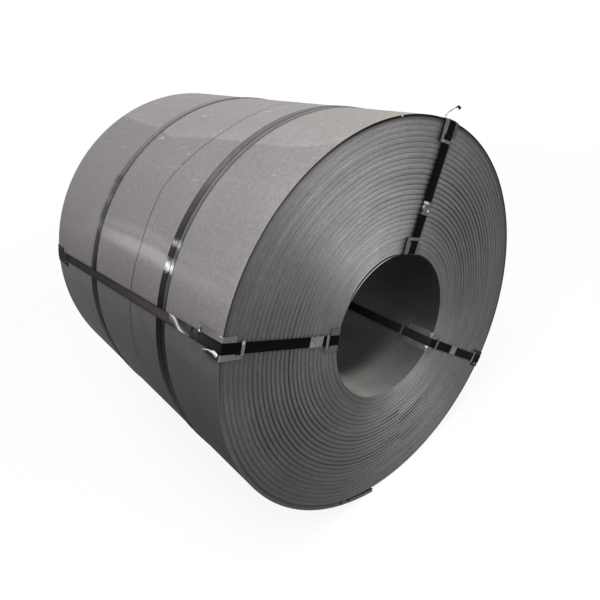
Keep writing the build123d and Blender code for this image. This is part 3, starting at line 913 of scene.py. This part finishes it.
def end_rings(angle, column, near):
    """The edges of all turns but the outermost, from the bore outwards."""
    shift = min(1.0, lap_lift(angle) / PITCH)
    slack = loose(angle) if near else 0.0
    bounds = [BORE] + [BORE + PITCH * (j + shift) for j in range(TURNS)]
    points = []
    for j in range(TURNS):
        inner, outer = bounds[j], bounds[j + 1]
        opened = [0.0, 0.0]
        if j == 0 and slack > 0:
            outer = inner + LOOSE_SKIN * slack
            opened[1] = LOOSE_DEEP * slack
        if j == 1 and slack > 0:
            inner += (LOOSE_SKIN + LOOSE_GAP) * slack
            opened[0] = LOOSE_DEEP * slack
        strip = j + column / COLUMNS
        if near:
            groove = groove_depth(angle, outer)
            points += ring_points(inner, outer, strip, NEAR_STEPS, NEAR_PHASE, groove, opened)
        else:
            points += ring_points(inner, outer, strip, FAR_STEPS, FAR_PHASE, FAR_GROOVE)
    return points, bounds[-1]


def swept(name, columns, capped):
    """A closed mesh from the same number of points in each column round the axis."""
    mesh = bpy.data.meshes.new(name)
    work = bmesh.new()
    rows = [[work.verts.new(point) for point in column] for column in columns]
    for one, other in zip(rows, rows[1:]):
        for i in range(len(one)):
            k = (i + 1) % len(one)
            work.faces.new((one[i], one[k], other[k], other[i]))
    if capped:
        work.faces.new(rows[0][::-1])
        work.faces.new(rows[-1])
    bmesh.ops.remove_doubles(work, verts=work.verts, dist=2e-6)
    open_edges = [edge for edge in work.edges if edge.is_boundary]
    if open_edges:
        bmesh.ops.holes_fill(work, edges=open_edges, sides=0)
    bmesh.ops.dissolve_degenerate(work, edges=work.edges, dist=1e-7)
    bmesh.ops.recalc_face_normals(work, faces=work.faces)
    work.to_mesh(mesh)
    work.free()
    for polygon in mesh.polygons:
        polygon.use_smooth = True
    mesh.set_sharp_from_angle(angle=math.radians(60))
    made = linked(name, mesh)
    made.data.materials.append(MATERIALS["coil_steel"])
    return made


def column_angle(column):
    return TAIL - 360.0 + 360.0 * column / COLUMNS


def wound_turns():
    """All turns but the outermost, as one skin with both ends and the bore."""
    columns = []
    for column in range(COLUMNS + 1):
        angle = column_angle(column)
        near, outside = end_rings(angle, column, True)
        far, _ = end_rings(angle, column, False)
        loop = list(near)
        loop += [(outside, near[-1][1]), (outside, WIDTH - far[-1][1])]
        loop += [(radius, WIDTH - depth) for radius, depth in reversed(far)]
        loop += [(BORE, WIDTH - far[0][1])]
        start, stop = WIDTH - far[0][1], near[0][1]
        loop += [(BORE, start + (stop - start) * share) for share in (0.25, 0.5, 0.75)]
        loop += [(BORE, stop)]
        columns.append([place(radius, angle, depth) for radius, depth in loop])
    return swept("coil_wound_turns", columns, False)


BARREL_ROWS = 24
# Hollows in the barrel: waves of (rate round it, rate along it, start), and how deep they are
DENT_WAVES = ((3, 5.1, 0.0), (7, -9.7, 1.0), (13, 3.3, 0.0))
DENT = 0.00024


def barrel_dent(angle, depth):
    """Shallow hollows in the outermost turn, inwards only, so that the straps still clear it."""
    a = math.radians(angle)
    waves = [math.sin(round_it * a + along * depth + start) for round_it, along, start in DENT_WAVES]
    return -DENT * (len(waves) + sum(waves)) / (2 * len(waves))


def outer_turn():
    """The outermost turn, with its lap and its tail end."""
    columns = []
    for column in range(COLUMNS + 1):
        angle = column_angle(column)
        outer = RADIUS + lap_lift(angle)
        inner = outer - PITCH
        near = ring_points(
            inner, outer, TURNS + column / COLUMNS, RIM_STEPS, NEAR_PHASE, groove_depth(angle, outer)
        )
        far = ring_points(inner, outer, TURNS + column / COLUMNS, FAR_RIM_STEPS, FAR_PHASE, FAR_GROOVE)
        start, stop = near[-1][1], WIDTH - far[-1][1]
        loop = near[:-1] + [(outer, start), (outer, start + RIM_SUPPORT)]
        for row in range(1, BARREL_ROWS):
            depth = start + (stop - start) * (row / BARREL_ROWS)
            loop.append((outer + barrel_dent(angle, depth), depth))
        loop += [(outer, stop - RIM_SUPPORT), (outer, stop)]
        loop += [(radius, WIDTH - depth) for radius, depth in reversed(far[:-1])]
        loop += [(inner, WIDTH - far[0][1]), (inner, near[0][1])]
        columns.append([place(radius, angle, depth) for radius, depth in loop])
    return swept("coil_outer_turn", columns, True)


# ---------------------------------------------------------------- the pieces

for piece in (wound_turns(), outer_turn()):
    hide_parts("coil")
    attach(piece, "root")

WORN_EDGE = 0.0005
SLOTS = {
    "belly_strap": "strap_steel",
    "belly_seal": "seal_steel",
    "eye_strap": "strap_steel",
    "strap_seal": "seal_steel",
    "edge_protector": "protector_steel",
}
for name, node in nodes.items():
    if name == "coil":
        continue
    slot = next(slot for start, slot in SLOTS.items() if name.startswith(start))
    look = next(look for look in (name, name[:9], slot) if look in MATERIALS)
    node.data.materials.clear()
    node.data.materials.append(MATERIALS[look])
    if slot in ("protector_steel", "seal_steel"):
        bevel = node.modifiers.new("worn edges", "BEVEL")
        bevel.width = WORN_EDGE
        bevel.segments = 2
        bevel.limit_method = "ANGLE"
        bevel.angle_limit = math.radians(40)


def fitting(name, rows, look, thickness):
    """A small bent piece from rows of points, made solid."""
    mesh = bpy.data.meshes.new(name)
    points = [point for row in rows for point in row]
    across = len(rows[0])
    faces = [
        (i * across + j, i * across + j + 1, (i + 1) * across + j + 1, (i + 1) * across + j)
        for i in range(len(rows) - 1)
        for j in range(across - 1)
    ]
    mesh.from_pydata(points, [], faces)
    for polygon in mesh.polygons:
        polygon.use_smooth = True
    made = linked(name, mesh)
    mesh.materials.append(MATERIALS[look])
    solid = made.modifiers.new("thickness", "SOLIDIFY")
    solid.thickness = thickness
    solid.offset = 0.0
    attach(made, "root")
    return made


# The torn lip of the left rim protector's lower margin: how far it stands off the coil, bulges and
# crumples, its sheet, and the angle from the top and the depth of its two edges
LIP_LIFT = 0.0068
LIP_BULGE = 0.003
LIP_CRUMPLE = 0.0012
LIP_SHEET = 0.0008
LIP = (
    (67.35, 0.0755, 67.4, 0.0745), (66.85, 0.056, 67.0, 0.055), (66.45, 0.0435, 66.75, 0.0425),
    (66.35, 0.034, 66.9, 0.0335), (66.05, 0.0235, 66.75, 0.0265), (66.0, 0.013, 67.0, 0.0175),
    (66.15, 0.005, 67.2, 0.0085), (66.5, 0.001, 67.1, 0.0045),
)


def torn_lip():
    rows = []
    for one_turn, one_depth, other_turn, other_depth in LIP:
        row = []
        for share in (0.0, 0.25, 0.5, 0.75, 1.0):
            turn = one_turn + (other_turn - one_turn) * share
            depth = one_depth + (other_depth - one_depth) * share
            out = LIP_LIFT + LIP_BULGE * math.sin(math.pi * share)
            out += LIP_CRUMPLE * math.sin(7.0 * share + 190.0 * depth)
            row.append(place(RADIUS + out, turn + 90.0, depth))
        rows.append(row)
    fitting("edge_protector_left_near_rim_lip", rows, "torn_steel", LIP_SHEET)


# The end of wire that stands out beside the top strap: its depth, its thickness, and along it the angle,
# radius and half width
STUB_DEPTH = 0.004
STUB_THICKNESS = 0.001
STUB = (
    (63.9, 0.6775, 0.0007), (63.55, 0.684, 0.0013), (63.2, 0.689, 0.0006), (62.83, 0.6933, 0.0009),
    (62.0, 0.7005, 0.0018), (61.2, 0.7077, 0.0008), (60.6, 0.7125, 0.0012), (60.05, 0.7165, 0.0042),
    (59.6, 0.7195, 0.0062), (59.2, 0.7205, 0.0062), (58.9, 0.7185, 0.0045), (58.95, 0.7145, 0.0028),
    (59.1, 0.7115, 0.0008),
)


def stub():
    rows = []
    for angle, radius, half in STUB:
        centre = place(radius, angle, STUB_DEPTH)
        rows.append([
            centre + Vector((0, half, -half * 0.4)), centre + Vector((0, 0, half * 0.5)),
            centre + Vector((0, -half, -half * 0.4)),
        ])
    fitting("eye_strap_top_stub", rows, "eye_strap", STUB_THICKNESS)


torn_lip()
stub()

# ---------------------------------------------------------------- floor, light and camera


# The floor's size, its brightness to the camera near the coil, and the distances over which that fades to
# white; and the level of floor and sky to everything else
FLOOR_REACH = 60.0
FLOOR_WHITE = 0.88
FADE_START = 2.0
FADE_STOP = 4.0
SOFT_LEVEL = 0.45
WHITE = (1.0, 1.0, 1.0, 1.0)


def floor():
    """A pale floor that shows white to the camera and keeps some of the coil's shadow."""
    mesh = bpy.data.meshes.new("floor")
    far = FLOOR_REACH
    mesh.from_pydata([(-far, -far, 0), (far, -far, 0), (far, far, 0), (-far, far, 0)], [], [(0, 1, 2, 3)])
    made = linked("floor", mesh)
    material = bpy.data.materials.new("floor")
    material.use_nodes = True
    tree = material.node_tree
    tree.nodes.clear()
    add, link = tree.nodes.new, tree.links.new
    output = add("ShaderNodeOutputMaterial")
    rays = add("ShaderNodeLightPath")
    diffuse = add("ShaderNodeBsdfDiffuse")
    near = add("ShaderNodeMapRange")
    near.inputs["From Min"].default_value = FADE_START
    near.inputs["From Max"].default_value = FADE_STOP
    near.inputs["To Min"].default_value = FLOOR_WHITE
    near.inputs["To Max"].default_value = 1.0
    away = add("ShaderNodeVectorMath")
    away.operation = "LENGTH"
    link(add("ShaderNodeTexCoord").outputs["Object"], away.inputs[0])
    link(away.outputs["Value"], near.inputs["Value"])
    tone = add("ShaderNodeMix")
    tone.data_type = "RGBA"
    link(rays.outputs["Is Camera Ray"], tone.inputs[0])
    tone.inputs[6].default_value = (SOFT_LEVEL, SOFT_LEVEL, SOFT_LEVEL, 1.0)
    tone.inputs[7].default_value = WHITE
    link(tone.outputs[2], diffuse.inputs["Color"])
    white = add("ShaderNodeEmission")
    white.inputs["Color"].default_value = WHITE
    seen = add("ShaderNodeMath")
    seen.operation = "MULTIPLY"
    seen.use_clamp = True
    link(rays.outputs["Is Camera Ray"], seen.inputs[0])
    link(near.outputs[0], seen.inputs[1])
    mix = add("ShaderNodeMixShader")
    link(seen.outputs[0], mix.inputs[0])
    link(diffuse.outputs[0], mix.inputs[1])
    link(white.outputs[0], mix.inputs[2])
    link(mix.outputs[0], output.inputs["Surface"])
    mesh.materials.append(material)


def world():
    """White to the camera, to reflections and through glass, and a plain soft level otherwise."""
    sky = bpy.data.worlds.new("world")
    bpy.context.scene.world = sky
    sky.use_nodes = True
    tree = sky.node_tree
    add, link = tree.nodes.new, tree.links.new
    back = tree.nodes["Background"]
    back.inputs["Color"].default_value = WHITE
    rays = add("ShaderNodeLightPath")
    seen = rays.outputs["Is Camera Ray"]
    for name in ("Is Glossy Ray", "Is Transmission Ray"):
        join = add("ShaderNodeMath")
        join.operation = "MAXIMUM"
        link(seen, join.inputs[0])
        link(rays.outputs[name], join.inputs[1])
        seen = join.outputs[0]
    level = add("ShaderNodeMapRange")
    level.inputs["To Min"].default_value = SOFT_LEVEL
    level.inputs["To Max"].default_value = 1.0
    link(seen, level.inputs["Value"])
    link(level.outputs[0], back.inputs["Strength"])


def lamp(name, position, width, height, power):
    """A soft lamp that looks at the coil."""
    light = bpy.data.lights.new(name, "AREA")
    light.shape = "RECTANGLE"
    light.size = width
    light.size_y = height
    light.energy = power
    made = linked(name, light)
    made.location = position
    aim = Vector((0, 0, AXIS_Z)) - Vector(position)
    made.rotation_euler = aim.to_track_quat("-Z", "Y").to_euler()


def camera():
    """The photograph's view, with the coil turned to how it rests."""
    c, s = math.cos(ROLL), math.sin(ROLL)
    across = LEVEL_X * c + LEVEL_Z * s
    up = LEVEL_Z * c - LEVEL_X * s
    seen = Matrix((across, LEVEL_Y, up)).transposed()
    turned = Matrix(((1, 0, 0), (0, -1, 0), (0, 0, -1))) @ seen  # to right, up and back
    data = bpy.data.cameras.new("camera")
    data.sensor_width = SENSOR
    data.lens = FOCAL / FRAME_PIXELS * SENSOR
    made = linked("camera", data)
    spot = Vector((0, NEAR_Y, AXIS_Z)) - seen.transposed() @ NEAR_MIDDLE
    made.matrix_world = Matrix.Translation(spot) @ turned.transposed().to_4x4()
    bpy.context.scene.camera = made


floor()
world()
lamp("key", (-1.2, -1.6, 4.2), 3.0, 3.0, 160.0)
lamp("fill", (2.5, -4.5, 2.0), 3.0, 3.0, 50.0)
camera()
bpy.context.scene.view_settings.view_transform = "Standard"
